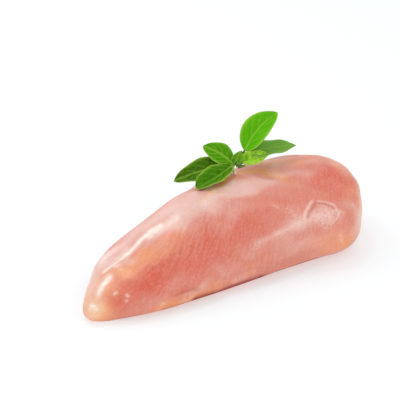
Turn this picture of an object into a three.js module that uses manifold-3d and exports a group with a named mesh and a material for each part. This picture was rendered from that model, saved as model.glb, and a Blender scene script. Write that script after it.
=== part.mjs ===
// A raw chicken breast, boned and skinless, lying on its flat side, with a sprig of fresh herb on its top.
// Millimetres, +Z up. X runs along the breast from its thin tip to its thick end, and -Y is its near side.
// The origin is under the middle of the breast, on the surface that it lies on.
import * as THREE from "three";
import Module from "manifold-3d";
import { mergeVertices } from "three/addons/utils/BufferGeometryUtils.js";

// Driving dimensions of the breast. The stations give a value at a share of the length, tip to thick end.
const LENGTH = 174;
const STATIONS = [0, 0.15, 0.35, 0.6, 0.8, 1];
const MIDDLE_LINE = [-30, -23.3, -11.9, -0.3, -2, -0.8];
const NEAR_REACH = [2.5, 16.6, 26.9, 35, 38.8, 47.5];
const FAR_REACH = [8.3, 30.2, 28.2, 36.1, 45.9, 44];
const TOP_HEIGHT = [15.2, 19.9, 34.1, 35.9, 37.5, 47];
const WIDEST_HEIGHT = [6.6, 7, 8.5, 11, 14, 16];
const CREST_SHARE = [0.7, 0.5, 0.57, 0.61, 0.544, 0.5];

// How square each flank is: 2 is an ellipse, under 2 a slope, over 2 a shoulder.
const NEAR_SQUARENESS = [1.9, 1.6, 1.7, 2.1, 2.5, 2.4];
const FAR_SQUARENESS = [2, 2.5, 2.5, 2.4, 2.3, 2.3];
const UNDER_SQUARENESS = 3;

// How each end closes: the share of the length that it takes, and its squareness.
const NEAR_ENDS = { tip: 0.08, tipSquare: 2, thick: 0.2, thickSquare: 1.6 };
const FAR_ENDS = { tip: 0.14, tipSquare: 2, thick: 0.3, thickSquare: 1.9 };
const HEIGHT_ENDS = { tip: 0.12, tipSquare: 2, thick: 0.235, thickSquare: 2.5 };

// The underside is pressed flat: its curve would reach this far below the floor.
const PRESSED = 2.5;
const PRESSED_END_RATE = 1.3;

// Relief: the crest along the tip half, the valley across the top, and the lip of membrane at the near base.
const CREST_RIDGE = { height: 0.7, spread: 7, from: 0.06, to: 0.46, fade: 0.12 };
const VALLEY = { x: 34, y: 8, turn: 35, depth: 1.6, width: 5.5, reach: 20 };
const BACK_RIDGE = { behind: 11, height: 0.7, width: 7, reach: 18 };
const RELIEF_FADE = 8;
const BASE_LIP = { from: 0.12, to: 0.62, fade: 0.1, height: 3.2, rise: 6, riseFrom: 0.25 };
const LIP_BULGE = { depth: 0.9, width: 2.2 };
const LIP_GROOVE = { above: 4.6, depth: 0.6, width: 1.5 };

// The near flank swells out low down, by a reach at each station.
const SWELL_REACH = [0, 0.2, 2.7, 5, 0.2, 0];
const SWELL = { height: 5, spread: 8 };

// The grid of the breast's surface.
const RINGS = 70;
const STEPS_OVER = 40;
const STEPS_UNDER = 20;

// Driving dimensions of the sprig: three places along its stem, the cut foot first, and its thicknesses.
const STEM_FOOT = new THREE.Vector3(19.6, 11.5, 37.3);
const LOWER_NODE = new THREE.Vector3(22.3, 18.3, 39.4);
const UPPER_NODE = new THREE.Vector3(28.4, 19.2, 44.1);
const BETWEEN_NODES = LOWER_NODE.clone().lerp(UPPER_NODE, 0.45);
const STEM_RADIUS = 0.95;
const STEM_SIDES = 8;
const STEM_STEPS = 8;
const STEM_PAST_NODE = 0.2;
const LEAF_THICK = 0.6;
const STALK_THICK = 1;
const STALK_HALF_WIDTH = 0.6;
const LEAF_END_HALF_WIDTH = 0.35;
const LEAF_STEPS = 12;
const LEAF_STEPS_ACROSS = 6;
const STALK_SHARE = 0.07;
const OVAL = { low: 0.52, high: 0.74 };
const BLUNT_OVAL = { low: 0.62, high: 0.5 };
const RIM_WAVES = 2.5;
const RIM_LAG = 2;

// Each leaf grows from a place on the stem to its tip. Its halves fold up from the midrib by their angles, its
// midrib arches up and bows sideways by their heights, and its rim waves by a height.
const LEAVES = [
  { at: UPPER_NODE, tip: [52.8, 24.4, 62.4], faces: [-0.42, -0.79, 0.45], width: 17, folds: [44, 10],
    arch: 1.5, bow: 2.2, wave: 0.4 },
  { at: UPPER_NODE, tip: [58.2, 12.1, 46.1], faces: [0.12, -0.35, 0.93], width: 13, folds: [10, 4],
    arch: 1, bow: 0, wave: 0.5 },
  { at: BETWEEN_NODES, tip: [39.8, 11, 44.8], faces: [-0.3, -0.55, 0.78], width: 9, folds: [15, 15],
    arch: 0.5, bow: -1, wave: 0.3 },
  { at: LOWER_NODE, tip: [25.8, 17.6, 47], faces: [-0.5, -0.8, 0.3], width: 6, folds: [20, 20],
    arch: 0.5, bow: 0, wave: 0.1 },
  { at: LOWER_NODE, tip: [10, 31.2, 48], faces: [-0.25, -0.75, 0.6], width: 12, folds: [12, 12],
    arch: 1.5, bow: -1, wave: 0.4 },
  { at: LOWER_NODE, tip: [-7.7, 31.8, 30.5], faces: [-0.45, -0.35, 0.82], width: 15, folds: [15, 15],
    arch: 2.5, bow: 0, wave: 0.4 },
  { at: LOWER_NODE, tip: [-7.6, 5.6, 37.2], faces: [0, 0, 1], width: 14.5, folds: [60, 17],
    arch: -1, bow: 0, wave: 0.3, oval: BLUNT_OVAL },
  { at: UPPER_NODE, tip: [27.6, 14.6, 40.2], faces: [-0.3, -0.8, 0.5], width: 5, folds: [25, 25],
    arch: 0.6, bow: 0, wave: 0.1 },
];

// A smooth value through the stations: cubic pieces whose slopes come from both neighbours.
function along(values, s) {
  const last = STATIONS.length - 1;
  const slope = (i) => {
    if (i === 0) return (values[1] - values[0]) / (STATIONS[1] - STATIONS[0]);
    if (i === last) return (values[last] - values[last - 1]) / (STATIONS[last] - STATIONS[last - 1]);
    const before = STATIONS[i] - STATIONS[i - 1];
    const after = STATIONS[i + 1] - STATIONS[i];
    const rise = before * before * (values[i + 1] - values[i]) + after * after * (values[i] - values[i - 1]);
    return rise / (before * after * (before + after));
  };
  let i = 0;
  while (i < last - 1 && s >= STATIONS[i + 1]) i += 1;
  const span = STATIONS[i + 1] - STATIONS[i];
  const t = (s - STATIONS[i]) / span;
  return (
    (2 * t ** 3 - 3 * t ** 2 + 1) * values[i] +
    (t ** 3 - 2 * t ** 2 + t) * span * slope(i) +
    (3 * t ** 2 - 2 * t ** 3) * values[i + 1] +
    (t ** 3 - t ** 2) * span * slope(i + 1)
  );
}

// 0 at both ends of the length and 1 between them, round like a superellipse at each end.
function closing(ends, s) {
  const round = (t, square) => (1 - (1 - THREE.MathUtils.clamp(t, 0, 1)) ** square) ** (1 / square);
  return round(s / ends.tip, ends.tipSquare) * round((1 - s) / ends.thick, ends.thickSquare);
}

const bell = (t) => Math.exp(-t * t);

// 1 between two shares of the length, fading to 0 outside them.
function between(s, range) {
  const rise = THREE.MathUtils.smoothstep(s, range.from, range.from + range.fade);
  const fall = THREE.MathUtils.smoothstep(s, range.to - range.fade, range.to);
  return rise * (1 - fall);
}

// A point of the breast at a share of its length and an angle round its section: 0 is the widest place of the
// near side, 90 degrees the crest, 180 the widest place of the far side, and 270 the underside.
function breastPoint(s, angle) {
  const x = (s - 0.5) * LENGTH;
  const middle = along(MIDDLE_LINE, s);
  const near = middle - along(NEAR_REACH, s) * closing(NEAR_ENDS, s);
  const far = middle + along(FAR_REACH, s) * closing(FAR_ENDS, s);
  const widest = along(WIDEST_HEIGHT, s);
  const endHeight = closing(HEIGHT_ENDS, s);
  const top = widest + (along(TOP_HEIGHT, s) - widest) * endHeight;
  const under = widest - (widest + PRESSED) * Math.min(endHeight * PRESSED_END_RATE, 1);
  const over = Math.sin(angle) >= 0;
  const nearSide = Math.cos(angle) > 0;
  const centre = over ? near + along(CREST_SHARE, s) * (far - near) : (near + far) / 2;
  let squareness = UNDER_SQUARENESS;
  if (over) squareness = along(nearSide ? NEAR_SQUARENESS : FAR_SQUARENESS, s);
  const out = Math.abs(Math.cos(angle)) ** (2 / squareness);
  const up = Math.abs(Math.sin(angle)) ** (2 / squareness);
  let y = centre + (nearSide ? near - centre : far - centre) * out;
  let z = widest + (over ? top - widest : under - widest) * up;

  const fromCrest = THREE.MathUtils.radToDeg(angle) - 90;
  z += CREST_RIDGE.height * bell(fromCrest / CREST_RIDGE.spread) * between(s, CREST_RIDGE);

  const turn = THREE.MathUtils.degToRad(VALLEY.turn);
  const acrossValley = (x - VALLEY.x) * Math.cos(turn) + (y - VALLEY.y) * Math.sin(turn);
  const alongValley = (y - VALLEY.y) * Math.cos(turn) - (x - VALLEY.x) * Math.sin(turn);
  const onTop = THREE.MathUtils.clamp((z - widest) / RELIEF_FADE, 0, 1);
  const valley = VALLEY.depth * bell(acrossValley / VALLEY.width) * bell(alongValley / VALLEY.reach);
  const ridge = BACK_RIDGE.height * bell((acrossValley - BACK_RIDGE.behind) / BACK_RIDGE.width);
  z += (ridge * bell(alongValley / BACK_RIDGE.reach) - valley) * onTop;

  if (y < middle) {
    const lipHeight = BASE_LIP.height + BASE_LIP.rise * Math.max(s - BASE_LIP.riseFrom, 0);
    const bulge = LIP_BULGE.depth * bell((z - lipHeight) / LIP_BULGE.width);
    const groove = LIP_GROOVE.depth * bell((z - lipHeight - LIP_GROOVE.above) / LIP_GROOVE.width);
    const swell = along(SWELL_REACH, s) * bell((z - SWELL.height) / SWELL.spread);
    y -= (bulge - groove) * between(s, BASE_LIP) + swell;
  }
  return new THREE.Vector3(x, y, Math.max(z, 0));
}

// A geometry from points and the corners of its triangles.
function meshOf(points, corners) {
  const geometry = new THREE.BufferGeometry().setFromPoints(points);
  geometry.setIndex(corners);
  geometry.computeVertexNormals();
  return geometry;
}

// The breast's surface: rings that crowd towards both ends, each end closed at one point.
function breastGeometry() {
  const steps = STEPS_OVER + STEPS_UNDER;
  const points = [breastPoint(0, 0)];
  for (let ring = 1; ring < RINGS; ring += 1) {
    const s = (1 - Math.cos((Math.PI * ring) / RINGS)) / 2;
    for (let step = 0; step < steps; step += 1) {
      const under = step - STEPS_OVER;
      const halfTurns = under < 0 ? step / STEPS_OVER : 1 + under / STEPS_UNDER;
      points.push(breastPoint(s, Math.PI * halfTurns));
    }
  }
  points.push(breastPoint(1, 0));
  const end = points.length - 1;
  const corners = [];
  for (let step = 0; step < steps; step += 1) {
    const next = (step + 1) % steps;
    corners.push(0, 1 + step, 1 + next);
    for (let ring = 0; ring < RINGS - 2; ring += 1) {
      const a = 1 + ring * steps;
      const b = a + steps;
      corners.push(a + step, b + step, b + next, a + step, b + next, a + next);
    }
    corners.push(end, end - steps + next, end - steps + step);
  }
  return meshOf(points, corners);
}

// Half the width of a leaf at a share of its length: a narrow stalk, then an oval, widest where the blade's share
// is low / (low + high).
function leafHalfWidth(share, width, oval) {
  const blade = THREE.MathUtils.clamp((share - STALK_SHARE) / (1 - STALK_SHARE), 0, 1);
  const widest = oval.low / (oval.low + oval.high);
  const shape = (t) => t ** oval.low * (1 - t) ** oval.high;
  const least = THREE.MathUtils.lerp(STALK_HALF_WIDTH, LEAF_END_HALF_WIDTH, share);
  return Math.max(least, ((width / 2) * shape(blade)) / shape(widest));
}

// A leaf: two like faces on a grid along and across it, joined round the rim.
function leafGeometry({ at, tip, faces, width, folds, arch, bow, wave, oval = OVAL }) {
  const reach = new THREE.Vector3(...tip).sub(at);
  const forward = reach.clone().normalize();
  const side = new THREE.Vector3(...faces).cross(forward).normalize();
  const facing = forward.clone().cross(side);
  const tilts = folds.map(THREE.MathUtils.degToRad);
  const columns = LEAF_STEPS_ACROSS + 1;
  const points = [];
  for (const face of [1, -1]) {
    for (let row = 0; row <= LEAF_STEPS; row += 1) {
      const share = row / LEAF_STEPS;
      const half = leafHalfWidth(share, width, oval);
      const thinned = Math.min(share / (2 * STALK_SHARE), 1);
      const thick = THREE.MathUtils.lerp(STALK_THICK, LEAF_THICK, thinned);
      const rise = arch * Math.sin(Math.PI * share);
      const aside = bow * Math.sin(Math.PI * share);
      for (let column = 0; column < columns; column += 1) {
        const across = (2 * column) / LEAF_STEPS_ACROSS - 1;
        const tilt = share > STALK_SHARE ? tilts[across < 0 ? 0 : 1] : 0;
        const lag = across < 0 ? 0 : RIM_LAG;
        const ripple = wave * across * across * Math.sin(2 * Math.PI * RIM_WAVES * share + lag);
        const lift = rise + Math.abs(across) * half * Math.sin(tilt) + ripple + (face * thick) / 2;
        const point = at.clone().addScaledVector(reach, share);
        point.addScaledVector(side, aside + across * half * Math.cos(tilt)).addScaledVector(facing, lift);
        points.push(point);
      }
    }
  }
  const lower = (LEAF_STEPS + 1) * columns;
  const corners = [];
  const quad = (a, b, c, d) => corners.push(a, b, c, a, c, d);
  for (let row = 0; row < LEAF_STEPS; row += 1) {
    const here = row * columns;
    const next = here + columns;
    for (let column = 0; column < LEAF_STEPS_ACROSS; column += 1) {
      quad(here + column, next + column, next + column + 1, here + column + 1);
      quad(lower + here + column, lower + here + column + 1, lower + next + column + 1, lower + next + column);
    }
    const edge = LEAF_STEPS_ACROSS;
    quad(here, lower + here, lower + next, next);
    quad(here + edge, next + edge, lower + next + edge, lower + here + edge);
  }
  for (let column = 0; column < LEAF_STEPS_ACROSS; column += 1) {
    const end = LEAF_STEPS * columns;
    quad(column, column + 1, lower + column + 1, lower + column);
    quad(end + column, lower + end + column, lower + end + column + 1, end + column + 1);
  }
  return meshOf(points, corners);
}

// The stem: a round rod from its cut foot through both places where leaves grow.
function stemGeometry() {
  const round = new THREE.Shape();
  for (let side = 0; side < STEM_SIDES; side += 1) {
    const turn = (2 * Math.PI * side) / STEM_SIDES;
    const place = [STEM_RADIUS * Math.cos(turn), STEM_RADIUS * Math.sin(turn)];
    if (side === 0) round.moveTo(...place);
    else round.lineTo(...place);
  }
  const past = UPPER_NODE.clone().lerp(LOWER_NODE, -STEM_PAST_NODE);
  const path = new THREE.CatmullRomCurve3([STEM_FOOT, LOWER_NODE, UPPER_NODE, past]);
  return new THREE.ExtrudeGeometry(round, { steps: STEM_STEPS, bevelEnabled: false, extrudePath: path });
}

const MERGE_WITHIN = 1e-4;
const manifold = await Module();
manifold.setup();

// A closed geometry as a solid that can be joined to another.
function solidOf(geometry) {
  const bare = geometry.clone();
  bare.deleteAttribute("normal");
  bare.deleteAttribute("uv");
  const merged = mergeVertices(bare, MERGE_WITHIN);
  return new manifold.Manifold(
    new manifold.Mesh({
      numProp: 3,
      vertProperties: new Float32Array(merged.attributes.position.array),
      triVerts: new Uint32Array(merged.index.array),
    }),
  );
}

// The sprig: leaves and stem grown together as one solid.
function sprigGeometry() {
  let grown = solidOf(stemGeometry());
  for (const leaf of LEAVES) grown = grown.add(solidOf(leafGeometry(leaf)));
  const mesh = grown.getMesh();
  const geometry = new THREE.BufferGeometry();
  geometry.setAttribute("position", new THREE.BufferAttribute(new Float32Array(mesh.vertProperties), 3));
  geometry.setIndex(new THREE.BufferAttribute(new Uint32Array(mesh.triVerts), 1));
  geometry.computeVertexNormals();
  return geometry;
}

const flesh = new THREE.MeshStandardMaterial({ color: "#e6a08c", roughness: 0.35, metalness: 0 });
const leafGreen = new THREE.MeshStandardMaterial({ color: "#55960f", roughness: 0.5, metalness: 0 });

const breast = new THREE.Mesh(breastGeometry(), flesh);
breast.name = "chicken_breast";

const sprig = new THREE.Mesh(sprigGeometry(), leafGreen);
sprig.name = "herb_sprig";

const part = new THREE.Group();
part.add(breast, sprig);
export default part;
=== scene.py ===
"""A raw chicken breast, boned and skinless, on its flat side, with a sprig of fresh herb on its top.

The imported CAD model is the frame: X runs from the thin tip to the thick end, -Y is the near side and +Z is
up. Shapes are worked out in millimetres and put into meshes in metres.
"""
import math

import bpy
import numpy as np
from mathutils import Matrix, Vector


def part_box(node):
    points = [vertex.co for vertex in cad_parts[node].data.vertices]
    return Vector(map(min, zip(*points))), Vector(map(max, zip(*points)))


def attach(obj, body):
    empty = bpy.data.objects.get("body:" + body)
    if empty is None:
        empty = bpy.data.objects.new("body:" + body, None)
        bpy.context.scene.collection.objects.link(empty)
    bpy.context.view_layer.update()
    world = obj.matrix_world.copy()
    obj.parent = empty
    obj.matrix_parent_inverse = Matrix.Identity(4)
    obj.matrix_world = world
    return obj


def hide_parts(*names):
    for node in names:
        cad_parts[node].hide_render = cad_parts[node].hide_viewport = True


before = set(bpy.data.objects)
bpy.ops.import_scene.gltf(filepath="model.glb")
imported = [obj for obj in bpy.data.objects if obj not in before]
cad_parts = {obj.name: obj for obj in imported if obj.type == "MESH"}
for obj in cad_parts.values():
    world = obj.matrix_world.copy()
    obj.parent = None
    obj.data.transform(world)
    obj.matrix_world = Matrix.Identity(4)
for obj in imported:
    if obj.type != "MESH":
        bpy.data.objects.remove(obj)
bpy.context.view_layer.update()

MM = 0.001

# The breast as the CAD has it: values at shares of its length, from the tip to the thick end.
LENGTH = 174
STATIONS = np.array([0, 0.15, 0.35, 0.6, 0.8, 1])
MIDDLE_LINE = [-30, -23.3, -11.9, -0.3, -2, -0.8]
NEAR_REACH = [2.5, 16.6, 26.9, 35, 38.8, 47.5]
FAR_REACH = [8.3, 30.2, 28.2, 36.1, 45.9, 44]
TOP_HEIGHT = [15.2, 19.9, 34.1, 35.9, 37.5, 47]
WIDEST_HEIGHT = [6.6, 7, 8.5, 11, 14, 16]
CREST_SHARE = [0.7, 0.5, 0.57, 0.61, 0.544, 0.5]
NEAR_SQUARENESS = [1.9, 1.6, 1.7, 2.1, 2.5, 2.4]
FAR_SQUARENESS = [2, 2.5, 2.5, 2.4, 2.3, 2.3]
UNDER_SQUARENESS = 3
NEAR_ENDS = {"tip": 0.08, "tip_square": 2, "thick": 0.2, "thick_square": 1.6}
FAR_ENDS = {"tip": 0.14, "tip_square": 2, "thick": 0.3, "thick_square": 1.9}
HEIGHT_ENDS = {"tip": 0.12, "tip_square": 2, "thick": 0.235, "thick_square": 2.5}
PRESSED = 2.5
PRESSED_END_RATE = 1.3
CREST_RIDGE = {"height": 0.7, "spread": 7, "from": 0.06, "to": 0.46, "fade": 0.12}
VALLEY = {"x": 34, "y": 8, "turn": 35, "depth": 1.6, "width": 5.5, "reach": 20}
BACK_RIDGE = {"behind": 11, "height": 0.7, "width": 7, "reach": 18}
RELIEF_FADE = 8
BASE_LIP = {"from": 0.12, "to": 0.62, "fade": 0.1, "height": 3.2, "rise": 6, "rise_from": 0.25}
LIP_BULGE = {"depth": 0.9, "width": 2.2}
LIP_GROOVE = {"above": 4.6, "depth": 0.6, "width": 1.5}
SWELL_REACH = [0, 0.2, 2.7, 5, 0.2, 0]
SWELL = {"height": 5, "spread": 8}

# The fine grid of the breast: rings along it, and steps over its top and under it.
RINGS = 380
STEPS_OVER = 176
STEPS_UNDER = 56


def bell(t):
    """1 at 0, falling smoothly to 0 on both sides: e to the minus t squared."""
    return np.exp(-t * t)


def smooth(t):
    """0 below 0, 1 above 1, and 3t^2 - 2t^3 between them."""
    t = np.clip(t, 0, 1)
    return t * t * (3 - 2 * t)


def between(s, span):
    """1 between two shares of the length, fading to 0 outside them."""
    rise = smooth((s - span["from"]) / span["fade"])
    fall = smooth((s - span["to"] + span["fade"]) / span["fade"])
    return rise * (1 - fall)


def along(values, s):
    """A smooth value through the stations: cubic pieces whose slopes come from both neighbours."""
    values = np.array(values, float)
    slopes = np.gradient(values, STATIONS)
    i = np.clip(np.searchsorted(STATIONS, s, side="right") - 1, 0, len(STATIONS) - 2)
    span = STATIONS[i + 1] - STATIONS[i]
    t = (s - STATIONS[i]) / span
    return (
        (2 * t**3 - 3 * t**2 + 1) * values[i]
        + (t**3 - 2 * t**2 + t) * span * slopes[i]
        + (3 * t**2 - 2 * t**3) * values[i + 1]
        + (t**3 - t**2) * span * slopes[i + 1]
    )


def closing(ends, s):
    """0 at both ends of the length and 1 between them, round like a superellipse at each end."""

    def rounded(t, square):
        return (1 - (1 - np.clip(t, 0, 1)) ** square) ** (1 / square)

    tip = rounded(s / ends["tip"], ends["tip_square"])
    return tip * rounded((1 - s) / ends["thick"], ends["thick_square"])


def breast_points(s, angle):
    """The CAD's surface. At a share s of the length the section is four superellipse quarters that meet at
    the near side's widest place (angle 0), the crest (90 degrees), the far side's widest place (180) and the
    underside (270). The ends close by superellipse envelopes. Bells add the crest ridge, the valley across
    the top with the ridge behind it, the lip and groove along the near base, and the swell low on the near
    flank. What falls below the floor is pressed flat."""
    x = (s - 0.5) * LENGTH + 0 * angle
    middle = along(MIDDLE_LINE, s)
    near = middle - along(NEAR_REACH, s) * closing(NEAR_ENDS, s)
    far = middle + along(FAR_REACH, s) * closing(FAR_ENDS, s)
    widest = along(WIDEST_HEIGHT, s)
    end_height = closing(HEIGHT_ENDS, s)
    top = widest + (along(TOP_HEIGHT, s) - widest) * end_height
    under = widest - (widest + PRESSED) * np.minimum(end_height * PRESSED_END_RATE, 1)
    over = np.sin(angle) >= 0
    near_side = np.cos(angle) > 0
    centre = np.where(over, near + along(CREST_SHARE, s) * (far - near), (near + far) / 2)
    squareness = np.where(near_side, along(NEAR_SQUARENESS, s), along(FAR_SQUARENESS, s))
    squareness = np.where(over, squareness, UNDER_SQUARENESS)
    out = np.abs(np.cos(angle)) ** (2 / squareness)
    up = np.abs(np.sin(angle)) ** (2 / squareness)
    y = centre + (np.where(near_side, near, far) - centre) * out
    z = widest + (np.where(over, top, under) - widest) * up

    crest = CREST_RIDGE["height"] * bell((np.degrees(angle) - 90) / CREST_RIDGE["spread"])
    z = z + crest * between(s, CREST_RIDGE)
    turn = math.radians(VALLEY["turn"])
    across = (x - VALLEY["x"]) * math.cos(turn) + (y - VALLEY["y"]) * math.sin(turn)
    lengthwise = (y - VALLEY["y"]) * math.cos(turn) - (x - VALLEY["x"]) * math.sin(turn)
    on_top = np.clip((z - widest) / RELIEF_FADE, 0, 1)
    valley = VALLEY["depth"] * bell(across / VALLEY["width"]) * bell(lengthwise / VALLEY["reach"])
    ridge = BACK_RIDGE["height"] * bell((across - BACK_RIDGE["behind"]) / BACK_RIDGE["width"])
    z = z + (ridge * bell(lengthwise / BACK_RIDGE["reach"]) - valley) * on_top

    lip_height = BASE_LIP["height"] + BASE_LIP["rise"] * np.maximum(s - BASE_LIP["rise_from"], 0)
    bulge = LIP_BULGE["depth"] * bell((z - lip_height) / LIP_BULGE["width"])
    groove = LIP_GROOVE["depth"] * bell((z - lip_height - LIP_GROOVE["above"]) / LIP_GROOVE["width"])
    swell = along(SWELL_REACH, s) * bell((z - SWELL["height"]) / SWELL["spread"])
    y = np.where(y < middle, y - (bulge - groove) * between(s, BASE_LIP) - swell, y)
    return np.stack([x, y, np.maximum(z, 0)], axis=-1)


def waves(places, kind):
    """A smooth random height, about -2 to 2: the sum of a count of sine waves with random directions and
    phases. Along each axis of the places a wave is about as long as its size there."""
    draw = np.random.default_rng(kind["seed"])
    count, size = kind["count"], kind["size"]
    ways = draw.normal(size=(count, len(size)))
    ways *= draw.uniform(*WAVE_RATES, size=(count, 1)) / np.linalg.norm(ways, axis=1, keepdims=True)
    turns = places @ (ways / np.array(size)).T + draw.random(count)
    return np.sin(2 * np.pi * turns).sum(axis=-1) * math.sqrt(2 / count)


def girths(points):
    """How far each point of a ring is from the crest, measured round the surface: minus on the near side and
    plus on the far side. The rings' first and last points are the same place, under the breast."""
    steps = np.linalg.norm(np.diff(points, axis=1), axis=2)
    length = np.concatenate([np.zeros((len(points), 1)), np.cumsum(steps, axis=1)], axis=1)
    crest = STEPS_UNDER // 2 + STEPS_OVER // 2
    return length - length[:, crest : crest + 1]


def patches(x, girth, places):
    """How much of a tint there is, 0 to 1: one bell for each place, longer one way than the other and turned
    in the surface. Where patches overlap, what one leaves bare the next covers in part."""
    bare = np.ones_like(x)
    for at_x, at_girth, long, wide, turn, strength in places:
        c, s = math.cos(math.radians(turn)), math.sin(math.radians(turn))
        lengthwise = (x - at_x) * c + (girth - at_girth) * s
        across = (girth - at_girth) * c - (x - at_x) * s
        bare = bare * (1 - strength * bell(np.hypot(lengthwise / long, across / wide)))
    return 1 - bare


def strokes(x, girth, lines):
    """Heights of thin raised or pressed lines: a bell of the distance from each line, which runs through its
    places in straight pieces."""
    height = np.zeros_like(x)
    for places, width, rise in lines:
        apart = np.full_like(x, np.inf)
        for (x0, girth0), (x1, girth1) in zip(places, places[1:]):
            run, climb = x1 - x0, girth1 - girth0
            share = np.clip(((x - x0) * run + (girth - girth0) * climb) / (run * run + climb * climb), 0, 1)
            apart = np.minimum(apart, np.hypot(x - x0 - share * run, girth - girth0 - share * climb))
        height += rise * bell(apart / width)
    return height


# The surface's marks, partly its own colours and partly painted light and shade. Each has a place, x and
# girth, then half length and half width, all in millimetres, the turn in degrees, and the strength.
RED_MUSCLE = [
    (-26, -27, 36, 14, -12, 0.48),
    (-54, -20, 12, 7, -16, 0.92),
    (-31, -28, 14, 7, -14, 0.35),
    (-15, -32, 12, 8, -8, 0.45),
    (3, -31, 11, 8, 0, 0.4),
    (16, -31, 8, 6, 0, 0.2),
    (66, -17, 12, 10, -20, 0.75),
    (54, -18, 12, 8, 0, 0.25),
    (46, -52, 10, 5, 0, 0.25),
    (70, -42, 8, 8, 0, 0.1),
    (60, -29, 8, 9, 0, 0.42),
    (68, -9, 6, 9, 12, 0.6),
    (28, -29, 12, 5, 0, 0.25),
    (-68, -17, 7, 5, -20, 0.3),
    (53.5, -41, 4, 4, 0, 0.25),
    (12, -41, 5, 3, 0, 0.35),
    (10, 46, 46, 12, 4, 0.5),
    (62, 36, 12, 12, 0, 0.35),
]
PEACH_MUSCLE = [
    (-62, -8, 10, 4.5, -8, 0.85),
    (-54, -5, 11, 3.2, -12, 0.55),
    (-48, -10.5, 11, 4.5, -14, 0.8),
    (-34, -14, 10, 5, -16, 0.4),
    (-71, -13, 9, 7, -20, 0.6),
    (-79, -17, 6, 7, 0, 0.9),
    (-79, -9.5, 5, 3, 0, 0.6),
    (-31, -15, 8, 4, -16, 0.3),
    (50, -57, 14, 7, 0, 0.85),
    (-2, -49.5, 9, 3, -20, 0.25),
    (70, -38, 7, 14, 10, 0.6),
    (77, -8, 7, 14, 20, 0.45),
    (53, 6, 9, 5, 0, 0.7),
    (-10, 30, 40, 9, 5, 0.4),
]
# Partly the flesh's own orange and tan, at the tip, the lip strip and low on the thick end, and partly
# painted shade and glow of the sprig: orange-brown shade in the valley, in the crease behind the sprig and on
# the crown beside it, and an orange glow under the nearest leaf.
AMBER_AND_SPRIG_SHADE = [
    (29, 6.6, 9, 2.8, -14, 0.85),
    (37, 0, 5, 2.4, -60, 0.35),
    (41, -10, 6, 3, -70, 0.3),
    (54, 7, 8, 4, 0, 0.2),
    (47, 11.5, 7, 3, 0, 0.55),
    (10, 2, 11, 2.8, 20, 0.95),
    (57, -57, 8, 4, 20, 0.25),
    (-41, -40.6, 13, 2.6, -26, 0.4),
    (-52, -7, 10, 3, -12, 0.25),
    (-80, -19, 8, 4, 0, 0.3),
    (-61, -7.5, 5, 3.4, -10, 0.3),
]
# Partly the flesh's own pale film, and partly a painted sheen where the facet near the tip, the top and the
# near flank face the light.
PALE_FILM_AND_SHEEN = [
    (-56, 9, 22, 8, 8, 0.52),
    (-70, 5, 8, 6, 0, 0.6),
    (-30, 7, 16, 7, 0, 0.6),
    (-25, -4, 14, 6.5, -10, 0.85),
    (-4, -7, 16, 7.5, -8, 0.88),
    (18, -9, 16, 6.5, -6, 0.68),
    (47, -6, 9, 5, -20, 0.3),
    (29, -12, 6, 4, -10, 0.18),
    (45, 4, 6, 4, 0, 0.45),
    (62, 4, 7, 4, 0, 0.2),
    (-56, -0.5, 8, 2.6, 0, 0.4),
    (6, -44, 5, 2, -25, 0.25),
    (47, -41.5, 6, 4, 8, 0.2),
    (-49.5, -1, 7, 2.8, -8, 0.7),
    (-14, 4, 9, 6, 0, 0.7),
    (-32, -43.5, 8, 2, -25, 0.35),
    (0, -23, 10, 5, 0, 0.3),
    (-15, -43.5, 8, 3.5, -20, 0.25),
    (-8, -54, 6, 1.6, -20, 0.25),
    (-54, -32, 8, 3, -20, 0.2),
    (-63, 6, 6, 3, 8, 0.65),
    (-67, -2.6, 5, 2.4, -20, 0.45),
    (32, -54, 16, 5, 0, 0.35),
    (66, -47, 6, 12, 0, 0.4),
    (-79, 6, 6, 8, 0, 0.85),
    (30, 22, 40, 10, 0, 0.5),
    (-20, 46, 26, 8, 0, 0.35),
]
# Cream that the flesh has at the nose, the thick end and the tip; the patches at x 5 and x 41 are painted
# light that lifts the sprig's shade under the nearest leaf and in the valley.
FAT_AND_PAINTED_LIGHT = [
    (-86, -9, 9, 15, 0, 0.75),
    (80, 10, 8, 20, 0, 0.3),
    (77, -30, 6, 14, 0, 0.32),
    (-66, -4.5, 8, 3.6, -12, 0.26),
    (5, 1, 10, 3, 20, 0.85),
    (41, -3, 6, 4, -60, 0.4),
    (74, -46, 6, 12, 0, 0.42),
]
# Where the surface is wettest, where its skin of film is wrinkled and flecked with painted glints, and where
# its fibres show.
WET_FILM = [
    (-74, -5.5, 6.5, 2.8, 12, 1),
    (-82.4, -8.6, 4, 1.8, -66, 1),
    (46, -41, 12, 6, 15, 0.7),
    (20, -44, 18, 4, 0, 0.6),
    (-64, 10, 9, 5, 8, 0.4),
]
CRINKLED = [
    (47, -41.5, 7, 5, 8, 1),
    (33, -43, 7, 3.2, 0, 0.75),
    (31, -38.5, 5, 3, 20, 0.5),
    (6, -44, 4.4, 2, -25, 0.45),
    (46, -48.5, 3, 2, 0, 0.6),
    (-58, 9, 20, 6, 8, 0.35),
    (-71, -14.2, 2.6, 1.5, -20, 0.35),
    (-66.6, -20.2, 2.6, 2.4, 0, 0.35),
    (-10, -7.4, 2.2, 1.3, -20, 0.9),
    (25, -29.6, 1.8, 3, 30, 0.9),
    (30, -34.6, 2.6, 2, 0, 0.7),
    (55.2, -42, 1.8, 1.3, 0, 1),
    (64, -37.6, 1.8, 1.2, 0, 0.8),
    (53.4, -56, 1.4, 3.6, 10, 0.9),
    (-38, -41.8, 5, 1.6, -28, 1),
    (-9, -52.4, 2, 1, 0, 0.8),
]
FIBROUS = [
    (-36, -14, 20, 10, -16, 0.7),
    (-14, -22, 20, 14, 0, 0.6),
    (14, -52, 22, 8, 0, 0.6),
    (60, -22, 14, 12, 0, 0.4),
]
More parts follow.
